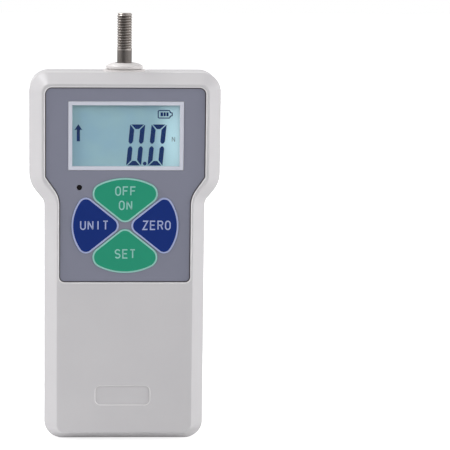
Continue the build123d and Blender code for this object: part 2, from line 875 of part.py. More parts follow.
# ------------------------------------------------------------------ bracket
def mount_places():
    """X and Z of the four mounting threads in the back."""
    return four_corners(mount_spacing_x / 2, mount_spacing_z / 2, (0, mount_height))


def bracket_screw_places():
    """X and Z of the screws that hold the bracket."""
    half = [size / 2 for size in bracket_screw_spacing]
    return four_corners(*half, (0, mount_height))


def cradle_screw_places():
    """X and Z of the screws that hold the battery cradle."""
    return [(0, cradle_low - cradle_ear / 2), (0, cradle_high + cradle_ear / 2)]


def small_screw_places():
    """All screws that go into the rear shell's standoffs."""
    return bracket_screw_places() + cradle_screw_places()


def load_bracket():
    """Metal bracket: a rear plate with four threaded bosses, and a gusseted shelf for the load cell."""
    plate_front = standoff_face - bracket_plate
    height = bracket_top - bracket_bottom
    outline = RectangleRounded(2 * bracket_half_width, height, bracket_corner_radius)
    bracket = slab(Pos(0, bracket_bottom + height / 2) * outline, standoff_face, plate_front)

    shelf_depth = plate_front + cell_thickness / 2
    shelf_centre = (0, plate_front - shelf_depth / 2, cell_bottom - shelf_thickness / 2)
    bracket += Pos(*shelf_centre) * Box(2 * shelf_half_width, shelf_depth, shelf_thickness)

    under = cell_bottom - shelf_thickness
    gusset = make_face(Polyline(
        (plate_front, under),
        (plate_front - gusset_depth, under),
        (plate_front, under - gusset_height),
        close=True,
    ))
    for x in (-shelf_half_width, shelf_half_width - gusset_thickness):
        plane = Plane(origin=(x, 0, 0), x_dir=(0, 1, 0), z_dir=(1, 0, 0))
        bracket += extrude(plane * gusset, amount=gusset_thickness)

    for place in mount_places():
        bracket += pin_y(place, mount_boss_radius, half_depth, standoff_face)
        bracket -= pin_y(place, mount_hole_radius, half_depth, plate_front)
    for place in bracket_screw_places():
        bracket -= pin_y(place, small_screw_radius + screw_pass_gap, standoff_face, plate_front)
    return bracket - pin_z(thread_radius + screw_pass_gap, under, cell_bottom)


def small_screw(place, under_head):
    """Screw into a standoff of the rear shell, with its head on the plane Y = under_head."""
    head_radius, head_height = small_screw_head
    head = pin_y(place, head_radius, under_head, under_head - head_height)
    return head + pin_y(place, small_screw_radius, standoff_face + small_screw_bite, under_head)


def bracket_screws():
    """Four screws that hold the bracket on its standoffs."""
    under_head = standoff_face - bracket_plate
    return Compound(children=[small_screw(place, under_head) for place in bracket_screw_places()])


def cell_bolt():
    """Bolt from under the shelf into the load cell."""
    head_radius, head_height = cell_bolt_head
    under = cell_bottom - shelf_thickness
    head = pin_z(head_radius, under - head_height, under)
    key = RegularPolygon(cell_bolt_socket, 6, major_radius=False)
    socket = extrude(Plane.XY.offset(under - head_height) * key, amount=head_height / 2)
    return head - socket + pin_z(thread_radius, under, cell_bottom + cell_bolt_bite)


# ------------------------------------------------------------------ battery
def battery_cell(index):
    """One round cell with its raised contact; every second cell stands upside down."""
    x = (index - (cell_count - 1) / 2) * battery_pitch
    body = pin_z(battery_radius, 0, battery_length)
    body = chamfer(body.edges().group_by(Axis.Z)[-1], length=battery_edge)
    cell = body + pin_z(contact_radius, battery_length, battery_length + contact_height)
    if index % 2:
        cell = Pos(0, 0, battery_length + contact_height) * Rot(180, 0, 0) * cell
    return Pos(x, battery_axis, battery_start + battery_gap) * cell


def battery_cradle():
    """Tray with one trough for each cell, two end walls and two ears for screws."""
    half_width = (cell_count - 1) / 2 * battery_pitch + battery_radius + cradle_margin
    front = standoff_face - cradle_base - cradle_rise
    outline = Pos(0, (cradle_low + cradle_high) / 2) * Rectangle(2 * half_width, cradle_high - cradle_low)
    tray = slab(outline, standoff_face, front)
    for index in range(cell_count):
        x = (index - (cell_count - 1) / 2) * battery_pitch
        start, end = cradle_low + cradle_end, cradle_high - cradle_end
        tray -= pin_z(battery_radius + battery_gap, start, end, (x, battery_axis))
    ear = RectangleRounded(2 * cradle_ear_half_width, cradle_ear, cradle_ear_radius)
    root = Rectangle(2 * cradle_ear_half_width, cradle_ear / 2)
    for place, inward in zip(cradle_screw_places(), (1, -1)):
        flange = Pos(*place) * ear + Pos(0, place[1] + inward * cradle_ear / 4) * root
        tray += slab(flange, standoff_face, standoff_face - cradle_base)
        hole = small_screw_radius + screw_pass_gap
        tray -= pin_y(place, hole, standoff_face, standoff_face - cradle_base)
    return tray


def cradle_screws():
    """Two screws that hold the cradle on its standoffs."""
    return Compound(children=[small_screw(p, standoff_face - cradle_base) for p in cradle_screw_places()])


# ------------------------------------------------------------------ write every node
os.makedirs("parts", exist_ok=True)

write(front_shell(), "front_shell")
write(rear_shell(), "rear_shell")
write(panel_film(), "panel_film")
write(housing_screws(), "housing_screws")

write(display_frame(), "display_frame")
write(display_window(), "display_window")
write(display_glass(), "display_glass")
write(backlight(), "backlight")

for key_name, stem_place in stem_places.items():
    write(key_cap(key_name), key_name)
    write(switch_plunger(stem_place), key_name.replace("key", "plunger"))
write(key_switches(), "key_switches")

write(main_board(), "main_board")
write(board_screws(), "board_screws")
write(status_led(), "status_led")
write(chip(processor_centre, processor_size), "processor_chip")
write(chip(amplifier_centre, amplifier_size), "amplifier_chip")

write(charger_jack(), "charger_jack")
write(charger_pin(), "charger_pin")
write(data_port(), "data_port")
write(port_tongue_block(), "data_port_tongue")

write(load_cell(), "load_cell")
write(strain_gauges(), "strain_gauges")
write(measuring_shaft(), "measuring_shaft")
write(shaft_lock_nut(), "shaft_lock_nut")
write(shaft_collar(), "shaft_collar")

write(load_bracket(), "load_bracket")
write(bracket_screws(), "bracket_screws")
write(cell_bolt(), "cell_bolt")

for cell_index in range(cell_count):
    write(battery_cell(cell_index), f"battery_cell_{cell_index + 1}")
write(battery_cradle(), "battery_cradle")
write(cradle_screws(), "cradle_screws")
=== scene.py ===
# %% [markdown]
# # A hand-held digital force gauge
# This notebook dresses a packed CAD model. The model already holds every solid of the gauge at its
# real size, in metres, standing on the plane Z = 0 with its display towards -Y. Here the solids get
# their finishes, and the pieces that CAD leaves plain get their real form: the thread on the
# measuring shaft, the lettering on the keys, the symbols of the display and the screw heads.

# %% Load the frame
import math

import bmesh
import bpy
import numpy as np
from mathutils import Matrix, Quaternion, Vector


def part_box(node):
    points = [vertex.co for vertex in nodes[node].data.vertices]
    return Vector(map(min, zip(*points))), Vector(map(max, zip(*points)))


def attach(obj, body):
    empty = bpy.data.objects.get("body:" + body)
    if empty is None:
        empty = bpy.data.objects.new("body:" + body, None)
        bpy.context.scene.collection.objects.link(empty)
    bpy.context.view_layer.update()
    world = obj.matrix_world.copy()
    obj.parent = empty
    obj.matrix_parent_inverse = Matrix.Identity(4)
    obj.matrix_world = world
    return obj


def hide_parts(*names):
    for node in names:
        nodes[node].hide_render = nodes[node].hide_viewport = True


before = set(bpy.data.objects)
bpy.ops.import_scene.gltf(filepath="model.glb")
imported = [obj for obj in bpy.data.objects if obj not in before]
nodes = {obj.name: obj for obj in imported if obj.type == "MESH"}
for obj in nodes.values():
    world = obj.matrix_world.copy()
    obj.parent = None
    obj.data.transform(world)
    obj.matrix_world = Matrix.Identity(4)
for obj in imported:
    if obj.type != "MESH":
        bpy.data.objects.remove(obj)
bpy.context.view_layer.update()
mm = 0.001

# %% [markdown]
# ## The camera
# The gauge is seen from in front and slightly above, by a long lens that keeps its edges nearly
# parallel. The gauge stands left of the middle of the frame. Turning the camera towards the right
# would skew the front face, so the camera looks straight at the gauge and its lens is shifted
# instead, which is what a view camera does. It isn't quite level: it leans by a third of a degree.

# %% Camera
camera_distance = 0.8
camera_azimuth = math.radians(-1.9)
camera_elevation = math.radians(9.0)
camera_lean = math.radians(0.33)
camera_target = Vector((0, 0, 0.071))

camera = bpy.data.objects.new("camera", bpy.data.cameras.new("camera"))
bpy.context.collection.objects.link(camera)
line_of_sight = Vector((
    math.sin(camera_azimuth) * math.cos(camera_elevation),
    -math.cos(camera_azimuth) * math.cos(camera_elevation),
    math.sin(camera_elevation),
))
camera.location = camera_target + camera_distance * line_of_sight
level = line_of_sight.to_track_quat("Z", "Y")
camera.rotation_euler = (level @ Quaternion((0, 0, 1), camera_lean)).to_euler()
camera.data.lens = 164.3
camera.data.sensor_width = 36.0
camera.data.shift_x = 0.2259
camera.data.shift_y = 0.0632
camera.data.clip_start = 0.05
bpy.context.scene.camera = camera
print("camera at", [round(v, 3) for v in camera.location])

# %% [markdown]
# ## Shader maths as Python
# A material is a graph of nodes. Wiring one by hand takes a line for each link, so a small class
# wraps an output socket instead: adding or multiplying two wrapped sockets makes the Math node that
# does it. Numbers alone never become nodes; Python works them out.

# %% A socket that can be calculated with
class Value:
    """An output socket of a node tree, with the operators that add Math nodes."""

    def __init__(self, tree, socket):
        self.tree, self.socket = tree, socket

    def math(self, operation, *others):
        return node(self.tree, "ShaderNodeMath", {"operation": operation}, [self, *others])

    def __add__(self, other):
        return self.math("ADD", other)

    def __sub__(self, other):
        return self.math("SUBTRACT", other)

    def __mul__(self, other):
        return self.math("MULTIPLY", other)

    def __rsub__(self, other):
        return node(self.tree, "ShaderNodeMath", {"operation": "SUBTRACT"}, [other, self])

    __radd__ = __add__
    __rmul__ = __mul__

    def size(self):
        return self.math("ABSOLUTE")

    def step(self, low, high):
        """0 below low and 1 above high, with a smooth ramp between them."""
        return node(self.tree, "ShaderNodeMapRange", {"interpolation_type": "SMOOTHSTEP"},
                    {"Value": self, "From Min": low, "From Max": high})


def node(tree, kind, settings=None, inputs=(), output=0):
    """Adds one node, its settings first and then its inputs. The output is a name or a number."""
    made = tree.nodes.new(kind)
    for name, value in (settings or {}).items():
        setattr(made, name, value)
    pairs = inputs.items() if isinstance(inputs, dict) else enumerate(inputs)
    for key, value in pairs:
        if isinstance(value, Value):
            tree.links.new(value.socket, made.inputs[key])
        else:
            made.inputs[key].default_value = value
    return Value(tree, made.outputs[output])


print("besides the operators, a Value has", *[name for name in vars(Value) if "__" not in name])

# %% [markdown]
# ## Colours and noise
# Colours are given as the eight-bit numbers that a painter's programme shows, and Blender wants
# linear light, so one function converts them. Every finish also varies a little from place to
# place. That comes from three-dimensional noise on Object coordinates, because a solid cut from
# such noise has no seams and needs no unwrapping.

# %% Helpers for materials
def colour(red, green, blue):
    """Linear colour of an sRGB triple: the sRGB curve undone, with an opaque alpha."""
    share = np.array([red, green, blue]) / 255
    linear = np.where(share <= 0.04045, share / 12.92, ((share + 0.055) / 1.055) ** 2.4)
    return (*linear.tolist(), 1.0)


def new_material(name):
    """An empty material with a Principled shader: returns it, its tree and its shader."""
    material = bpy.data.materials.new(name)
    material.use_nodes = True
    tree = material.node_tree
    return material, tree, tree.nodes["Principled BSDF"]


def place_on(tree):
    """Object coordinates, in metres."""
    return node(tree, "ShaderNodeTexCoord", output="Object")


def noise(tree, grain, detail=2.0, stretch=(1, 1, 1)):
    """Noise from 0 to 1 whose features are about grain metres wide, longer where stretch is low."""
    where = node(tree, "ShaderNodeMapping", {}, {"Vector": place_on(tree), "Scale": stretch})
    return node(tree, "ShaderNodeTexNoise", {}, {"Vector": where, "Scale": 1 / grain, "Detail": detail})


def blend(tree, share, first, second):
    """Colour that goes from first at share 0 to second at share 1.

    A Mix node has sockets for numbers, vectors and colours, and all have the same names. Inputs 6
    and 7 and output 2 are the ones for colours.
    """
    ends = {"Factor": share, 6: first, 7: second}
    return node(tree, "ShaderNodeMix", {"data_type": "RGBA"}, ends, output=2)


def coordinate(tree, axis):
    """One of the three Object coordinates, by its letter."""
    return node(tree, "ShaderNodeSeparateXYZ", {}, [place_on(tree)], output=axis)


def length(tree, vector):
    """How long a vector is: the square root of the sum of its three squares."""
    return node(tree, "ShaderNodeVectorMath", {"operation": "LENGTH"}, [vector], output="Value")


def ray_is(tree, kind):
    """1 where the ray that asks is of this kind, such as Camera or Glossy, and 0 elsewhere."""
    return node(tree, "ShaderNodeLightPath", output=f"Is {kind} Ray")


def bump(tree, shader, height, depth):
    """Tilts the surface as relief of the given depth in metres would."""
    relief = {"Height": height, "Distance": depth, "Strength": 1.0}
    tilted = node(tree, "ShaderNodeBump", {}, relief)
    tree.links.new(tilted.socket, shader.inputs["Normal"])


def feed(tree, shader, name, value):
    """Links a value to one of the shader's sockets."""
    tree.links.new(value.socket, shader.inputs[name])


print("middle grey in linear light", round(colour(128, 128, 128)[0], 3))

# %% [markdown]
# ## Moulded plastics
# A mould's fine spark-eroded grain leaves pits a few tenths of a millimetre wide. They scatter the
# highlight, so the plastic looks satin. Handling polishes broad patches, which the roughness
# follows. One recipe makes all the moulded and printed surfaces, with the numbers changed.

# %% Recipe for plastic, paint and ink
finishes = {}
patch = 18 * mm


def uneven(tree, share, base, tint):
    """The base colour where share is 1, and the same colour darker by tint where it is 0."""
    darker = (*(np.array(base[:3]) * (1 - tint)).tolist(), 1.0)
    return blend(tree, share, darker, base)


def swing(share, middle, reach):
    """A number that goes from middle - reach to middle + reach as share goes from 0 to 1."""
    return share * (2 * reach) + (middle - reach)


def plastic(name, base, roughness=0.45, grain=0.45 * mm, relief=0.012 * mm, tint=0.05, specular=0.5):
    """Satin surface: grain as relief, slow drift in colour and in roughness."""
    finishes[name], tree, shader = new_material(name)
    drift = noise(tree, patch, 3.0)
    feed(tree, shader, "Base Color", uneven(tree, drift, base, tint))
    feed(tree, shader, "Roughness", swing(drift, roughness, 0.06))
    shader.inputs["Specular IOR Level"].default_value = specular
    bump(tree, shader, noise(tree, grain), relief)
    return tree, shader


fine = {"grain": 0.3 * mm, "relief": 0.006 * mm}
plastic("panel_film", colour(134, 136, 152), roughness=0.42, **fine)
# painted shade: the dark colour of a strip along the film's cut edge, in place of the recess wall's shadow
plastic("film_border", colour(74, 70, 74), roughness=0.5, relief=0.0)
plastic("frame_plastic", colour(216, 218, 230), roughness=0.35)
# painted highlight: a near-white colour for the recess edges, where the shell's plastic would catch the
# light
plastic("polished_edge", colour(244, 242, 242), roughness=0.25, relief=0.0, tint=0.01)
plastic("key_green", colour(24, 152, 118), roughness=0.38, **fine)
plastic("key_blue", colour(4, 43, 122), roughness=0.4, specular=0.3, **fine)
plastic("collar_plastic", colour(232, 228, 226), roughness=0.35)
plastic("chip_black", colour(38, 38, 40), roughness=0.5)
plastic("switch_black", colour(30, 30, 32), roughness=0.4)
plastic("led_dark", colour(16, 9, 10), roughness=0.2, relief=0.0)
plastic("jack_plastic", colour(28, 28, 30), roughness=0.4)
plastic("cradle_plastic", colour(52, 54, 58), roughness=0.5)
plastic("cell_sleeve", colour(60, 110, 84), roughness=0.3, relief=0.004 * mm)
plastic("backlight", colour(236, 240, 242), roughness=0.4)
print("plastics", len(finishes))

# %% [markdown]
# ## The housing
# The two shells are moulded in a warm light grey. They meet on the plane Y = 0, where a real pair
# shows a hair-thin dark line: shade in the groove that the slightly rounded edges of both mouldings
# leave. Here that line is painted shade, worked out from the depth coordinate instead of being cut
# into the solids.

# %% Housing plastic
seam_core, seam_edge = 0.06 * mm, 0.16 * mm
tree, shader = plastic("housing_plastic", colour(208, 206, 208), roughness=0.46)
# painted shade: a dark line along the plane Y = 0 where the shells meet, in place of the shade in their
# seam's groove
seam = 1 - coordinate(tree, "Y").size().step(seam_core, seam_edge)
drift = noise(tree, patch, 3.0)
body_tone = blend(tree, drift, colour(203, 201, 203), colour(209, 207, 208))
feed(tree, shader, "Base Color", blend(tree, seam, body_tone, colour(96, 94, 94)))
print("seam line in mm", 2 * seam_edge / mm)

# %% [markdown]
# ## Metals
# A turned or drawn metal has fine lines along one direction, so its noise is stretched along that
# direction. The lines tilt the surface a little and vary its roughness, which breaks up the
# reflections.

# %% Recipe for metal
def metal(name, base, roughness=0.3, grain=0.25 * mm, stretch=(1, 1, 1), relief=0.004 * mm, tint=0.15):
    """Bare metal: stretched noise as brush lines in relief, in colour and in roughness."""
    finishes[name], tree, shader = new_material(name)
    lines = noise(tree, grain, 3.0, stretch)
    feed(tree, shader, "Base Color", uneven(tree, lines, base, tint))
    feed(tree, shader, "Roughness", swing(lines, roughness, 0.08))
    shader.inputs["Metallic"].default_value = 1.0
    bump(tree, shader, lines, relief)
    return tree, shader


metal("screw_steel", colour(178, 178, 182), roughness=0.32)
metal("cell_aluminium", colour(200, 202, 206), roughness=0.34, stretch=(0.15, 1, 1))
metal("bracket_aluminium", colour(188, 190, 194), roughness=0.42, grain=0.5 * mm)
metal("gauge_foil", colour(196, 138, 78), roughness=0.3)
metal("jack_pin", colour(206, 172, 96), roughness=0.22)
metal("port_steel", colour(186, 188, 192), roughness=0.26)
print("finishes with metals", len(finishes))

# %% [markdown]
# ## Steel with a rolled thread
# The crests of the thread are painted lighter and its roots darker and brownish: a painted highlight
# and painted shade that stand in for the stripes of light and shade along the thread.
# The plain neck between them is greyer, with fine lines along it from the drawn bar. The distance
# from the Z axis tells root, neck and crest apart, since the shaft stands on that axis.

# %% Shaft steel
bar_lines = (1, 1, 0.15)
tree, shader = metal("shaft_steel", colour(150, 143, 139), roughness=0.3, stretch=bar_lines)
flat = node(tree, "ShaderNodeVectorMath", {"operation": "MULTIPLY"}, [place_on(tree), (1, 1, 0)])
radius = length(tree, flat)
# painted shade in the thread's roots and a painted highlight on its crests, picked by the distance from
# the axis
out_of_root = radius.step(2.5 * mm, 2.8 * mm)
crest_highlight = radius.step(2.84 * mm, 2.94 * mm)
neck = blend(tree, noise(tree, 0.25 * mm, 3.0, bar_lines), colour(132, 126, 122), colour(152, 146, 142))
root_shaded = blend(tree, out_of_root, colour(154, 145, 138), neck)
feed(tree, shader, "Base Color", blend(tree, crest_highlight, root_shaded, colour(194, 187, 182)))
print("crests from radius 2.84 mm outwards")

# %% [markdown]
# ## The main board
# A printed circuit board is green because a tinted lacquer covers the copper tracks. The tracks show
# as slightly lighter lines through it, which wavy bands give well enough for a board that is seen
# only when the gauge is taken apart.

# %% Circuit board
tree, shader = plastic("circuit_board", colour(22, 92, 58), roughness=0.3, relief=0.0)
bands = node(tree, "ShaderNodeTexWave", {"bands_direction": "X"},
             {"Vector": place_on(tree), "Scale": 95.0, "Distortion": 6.0, "Detail Scale": 0.4})
tracks = bands.step(0.72, 0.8)
feed(tree, shader, "Base Color", blend(tree, tracks, colour(18, 84, 52), colour(52, 128, 84)))
feed(tree, shader, "Roughness", 0.34 - tracks * 0.06)
bump(tree, shader, tracks, 0.03 * mm)
print("circuit board done")

# %% [markdown]
# ## The display's finishes
# A liquid-crystal display is two sheets of glass over a lit plate. The plate's lamp sits at the
# middle of the right edge, so the pale blue is brightest there. The colour therefore follows the
# distance from that place, over a broad drift, and a weak emission of the same colour stands for the
# light that comes from behind. The symbols are a dark blue film.

# %% Display glass and ink
glow_x, glow_z = 21 * mm, 117 * mm
glow_reach = 12 * mm
glow_flatness = 0.4


def lit_glass():
    """Pale blue mottled by broad noise, brighter within an upright ellipse round the lamp's place."""
    tree, shader = plastic("display_glass", colour(150, 184, 196), relief=0.0, specular=0.1)
    drift = noise(tree, 14 * mm)
    body = blend(tree, drift.step(0.35, 0.65), colour(133, 166, 181), colour(140, 172, 180))
    beside = coordinate(tree, "X") - glow_x
    above = (coordinate(tree, "Z") - glow_z) * glow_flatness
    distance = (beside * beside + above * above).math("SQRT")
    tone = blend(tree, 1 - distance.step(0, glow_reach), body, colour(194, 228, 236))
    feed(tree, shader, "Base Color", tone)
    feed(tree, shader, "Emission Color", tone)
    shader.inputs["Emission Strength"].default_value = 0.3


lit_glass()
matt = {"roughness": 0.6, "relief": 0.0, "specular": 0.05}
plastic("display_ink", colour(14, 50, 108), **matt)
plastic("faint_ink", colour(124, 152, 160), **matt)
plastic("pale_green", colour(150, 205, 195), roughness=0.4, relief=0.0, tint=0.02)
plastic("pale_blue", colour(168, 178, 216), roughness=0.4, relief=0.0, tint=0.02)
print("finishes with inks", len(finishes))

# %% [markdown]
# ## The window
# Clear acrylic mirrors a little and lets the rest through. A path tracer blocks the lamps' light
# behind glass, because it looks for lamps along straight lines, so the glass turns transparent for
# those shadow rays alone. That keeps the display under it lit.

# %% Window
finishes["window"], tree, shader = new_material("window")
shader.inputs["Base Color"].default_value = (0.98, 0.99, 1.0, 1)
shader.inputs["Transmission Weight"].default_value = 1.0
shader.inputs["IOR"].default_value = 1.49
shader.inputs["Specular IOR Level"].default_value = 0.2
smudges = noise(tree, 9 * mm, 3.0)
feed(tree, shader, "Roughness", smudges.step(0.5, 0.8) * 0.05)
clear = node(tree, "ShaderNodeBsdfTransparent", {}, {"Color": (1, 1, 1, 1)})
acrylic = Value(tree, shader.outputs[0])
pane = node(tree, "ShaderNodeMixShader", {}, [ray_is(tree, "Shadow"), acrylic, clear])
feed(tree, tree.nodes["Material Output"], "Surface", pane)
print("all finishes", len(finishes))

# %% [markdown]
# ## Dressing the solids
# The packed solids carry placeholder materials named after their finish, so each slot finds its
# finish by that name. Nothing about the solids themselves changes.

# %% Give every CAD node its finish
def dress():
    """Puts each finish into the material slots of the CAD nodes that ask for it by name."""
    missing = set()
    for piece in nodes.values():
        for slot in piece.material_slots:
            name = slot.material.name.split(".")[0]
            if name in finishes:
                slot.material = finishes[name]
            else:
                missing.add(name)
    return sorted(missing)


print("slots without a finish:", dress())

# %% [markdown]
# ## New pieces from arrays
# Every new piece is a surface worked out with numpy and handed to Blender in one go. A closed curve
# carried round another closed curve makes a ring; closed curves stacked on each other need a cap at
# each end. Merging the doubles and recalculating the normals afterwards leaves a closed solid whose
# faces point outwards.

# %% Making meshes
def grid_faces(rows, columns, wrap_rows=False):
    """Quads between closed curves, one curve a row. Wrapped rows join the last curve to the first."""
    gaps = rows if wrap_rows else rows - 1
    row, column = np.meshgrid(np.arange(gaps), np.arange(columns), indexing="ij")
    below, beside = (row + 1) % rows, (column + 1) % columns
    corners = [(row, column), (row, beside), (below, beside), (below, column)]
    return np.stack([r * columns + c for r, c in corners], axis=-1).reshape(-1, 4).tolist()


def stack_faces(rows, columns):
    """Faces of a stack of closed curves: the grid between them, and a flat cap on each end."""
    last = (rows - 1) * columns
    return grid_faces(rows, columns) + [list(range(columns)), list(range(last, last + columns))]


def add_piece(name, parts, finish, slot, body, smooth=None):
    """One mesh object from (vertices in metres, faces) pairs, riding on a body.

    Edges flatter than the angle smooth, in degrees, are shaded as one surface.
    """
    mesh = bpy.data.meshes.new(name)
    vertices, faces, start = [], [], 0
    for points, quads in parts:
        vertices += points.tolist()
        faces += [[start + i for i in face] for face in quads]
        start += len(points)
    mesh.from_pydata(vertices, [], faces)
    tidy = bmesh.new()
    tidy.from_mesh(mesh)
    bmesh.ops.remove_doubles(tidy, verts=tidy.verts, dist=1e-8)
    bmesh.ops.recalc_face_normals(tidy, faces=tidy.faces)
    tidy.to_mesh(mesh)
    tidy.free()
    mesh.materials.append(finishes[finish])
    if smooth:
        mesh.shade_smooth()
        mesh.set_sharp_from_angle(angle=math.radians(smooth))
    piece = bpy.data.objects.new(name, mesh)
    bpy.context.collection.objects.link(piece)
    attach(piece, body)
    print(name, "faces", len(mesh.polygons))
    return piece


print("faces of a stack of 3 squares", len(stack_faces(3, 4)))

# %% [markdown]
# ## The measuring shaft
# The shaft is a steel rod with a rolled M6 thread of 1 mm pitch on its end, which takes the hooks and
# plates. A thread is a lathe surface whose radius also depends on the angle: going once round moves
# the ridge up by one pitch. The ridge is a triangle wave with its tip and root cut flat, and the cut
# fades out where the thread meets the plain neck.

# %% Threaded shaft
shaft_low, shaft_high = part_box("measuring_shaft")
thread_radius = shaft_high.x
thread_pitch = 1.0 * mm
thread_depth = 0.42 * mm
thread_start = shaft_high.z - 14.1 * mm
thread_fade = 0.9 * mm
nut_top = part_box("shaft_lock_nut")[1].z
nut_fade = 0.5 * mm
neck_radius = 2.83 * mm
chamfer = 0.6 * mm
crest_flat = 0.22
flank_share = 0.64


def ridge(turns):
    """Depth from 0 at the ridge to 1 at the root, as a triangle wave with cut-off tips."""
    wave = np.abs((turns % 1.0) - 0.5) * 2
    return np.clip((wave - crest_flat) / flank_share, 0, 1)


def shaft_surface(around=72, per_pitch=12):
    """Radius over angle and height: full thread, a plain neck, thread again, then a chamfer."""
    steps = int(round((shaft_high.z - shaft_low.z) / thread_pitch * per_pitch))
    height = np.linspace(shaft_low.z, shaft_high.z, steps + 1)[:, None]
    angle = np.linspace(0, 2 * np.pi, around, endpoint=False)[None, :]
    turns = height / thread_pitch - angle / (2 * np.pi)
    below_neck = np.clip((nut_top - height) / nut_fade, 0, 1)
    above_neck = np.clip((height - thread_start) / thread_fade, 0, 1)
    threaded = (height > thread_start) | (height < nut_top)
    full = np.where(threaded, thread_radius, neck_radius)
    radius = full - thread_depth * ridge(turns) * np.maximum(below_neck, above_neck)
    radius = np.minimum(radius, thread_radius - chamfer + (shaft_high.z - height))
    height = np.broadcast_to(height, radius.shape)
    points = np.stack([radius * np.cos(angle), radius * np.sin(angle), height], axis=-1)
    return points.reshape(-1, 3), stack_faces(steps + 1, around)


shaft = add_piece("threaded_shaft", [shaft_surface()], "shaft_steel", "shaft_steel", "shaft", smooth=40)
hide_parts("measuring_shaft")

# %% [markdown]
# ## Outlines of the keys
# Each key is a wedge: two straight sides meet in a rounded tip, and an arc with rounded corners
# closes it. Along such a curve the direction of the outward normal only ever turns one way, so the
# curve is three arcs strung together, each a centre plus a radius times the normal. That gives the
# exact normal at every point, and with it any offset curve. The upper and lower keys share one shape
# and the side keys another: half the angle between the straight sides in degrees, then in mm how far
# it reaches and the radii of its outer arc, its tip and its corners. The last number turns it.

# %% The wedge
key_gap = 0.5
key_diagonal = 38.7
tall_key = (90 - key_diagonal, 18.25, 22.5, 3.5, 4.1)
wide_key = (key_diagonal, 20.35, 16.5, 3.4, 3.1)
key_shapes = {
    "on_off": (*tall_key, 90),
    "set": (*tall_key, 270),
    "zero": (*wide_key, 0),
    "unit": (*wide_key, 180),
}
key_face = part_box("key_on_off")[0].y
key_height = (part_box("key_zero")[0].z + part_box("key_zero")[1].z) / 2


def wedge(half_angle, reach, outer, tip, corner, turn):
    """Points in mm and outward normals: tip arc, corner arc and outer arc, then their mirror images.

    The corner arc touches a straight side and the outer arc. So its centre lies the corner radius
    inside that side, and at the difference of the two radii from the outer arc's centre: a line cuts
    a circle, which is a quadratic equation for the run along the side.
    """
    half = math.radians(half_angle)
    point = key_gap / 2 / math.sin(half)
    tip_centre = np.array([point + tip / math.sin(half), 0])
    outer_centre = np.array([reach - outer, 0])
    along = np.array([math.cos(half), math.sin(half)])
    inward = np.array([math.sin(half), -math.cos(half)])
    start = np.array([point, 0]) + corner * inward - outer_centre
    middle = start @ along
    run = -middle + math.sqrt(middle**2 - start @ start + (outer - corner) ** 2)
    corner_centre = outer_centre + start + run * along
    meet = math.atan2(*(corner_centre - outer_centre)[::-1])
    side = math.pi / 2 + half
    stretches = [
        (tip_centre, tip, np.linspace(math.pi, side, 13)),
        (corner_centre, corner, np.linspace(side, meet, 17)),
        (outer_centre, outer, np.linspace(meet, 0, 25)[1:]),
    ]
    directions = [np.stack([np.cos(a), np.sin(a)], -1) for _, _, a in stretches]
    points = np.concatenate([c + r * d for (c, r, _), d in zip(stretches, directions)])
    normals = np.concatenate(directions)
    flip = np.array([1, -1])
    points = np.concatenate([points, points[-2:0:-1] * flip])
    normals = np.concatenate([normals, normals[-2:0:-1] * flip])
    angle = math.radians(turn)
    rotate = np.array([[math.cos(angle), math.sin(angle)], [-math.sin(angle), math.cos(angle)]])
    return points @ rotate, normals @ rotate


for key, shape in key_shapes.items():
    print(key, "outline in mm", *np.ptp(wedge(*shape)[0], axis=0).round(2))

# %% [markdown]
# ## The pale rims
# A pale line is printed round the edge of each key and over its rounded corner. It is a thin skin: a
# closed cross-section carried along the outline, each point moved along the normal by its first
# number and towards the viewer by its second. Two arcs about the centre of the rounded corner, one
# outside it and one inside, make the skin bend over.

# %% Rims
rim_width = 0.62
rim_lift = 0.03
rim_skirt = 0.27
corner_radius = 0.2
key_inks = {
    "on_off": ("pale_green", "key_green"),
    "set": ("pale_green", "key_green"),
    "zero": ("pale_blue", "key_blue"),
    "unit": ("pale_blue", "key_blue"),
}


def arc(centre_x, centre_z, radius_x, radius_z, first, last, steps=12):
    """Points on part of an ellipse, from one angle in degrees to another."""
    angle = np.radians(np.linspace(first, last, steps))
    return np.stack([centre_x + radius_x * np.cos(angle), centre_z + radius_z * np.sin(angle)], -1)


def carried(points, normals, section, face):
    """Every point of a section (outward, forward) at every point of a curve in the X-Z plane."""
    place = points[:, None, :] + normals[:, None, :] * section[None, :, :1]
    depth = face / mm - np.broadcast_to(section[None, :, 1], place.shape[:2])
    return np.stack([place[..., 0], depth, place[..., 1]], -1).reshape(-1, 3) * mm


def ring(points, normals, section, face):
    """A closed section carried round a closed curve: a grid that wraps both ways."""
    skin = carried(points, normals, section, face)
    return skin, grid_faces(len(points), len(section), wrap_rows=True)


over, under = corner_radius + rim_lift, corner_radius - rim_lift
rim_section = np.concatenate([
    [[-rim_width, -rim_lift], [-rim_width, rim_lift]],
    arc(-corner_radius, -corner_radius, over, over, 90, 0, 6),
    [[rim_lift, -rim_skirt], [-rim_lift, -rim_skirt]],
    arc(-corner_radius, -corner_radius, under, under, 0, 90, 6),
])
for key, shape in key_shapes.items():
    points, normals = wedge(*shape)
    rim = ring(points + [0, key_height / mm], normals, rim_section, key_face)
    add_piece("rim_" + key, [rim], *key_inks[key], key + "_key", smooth=35)
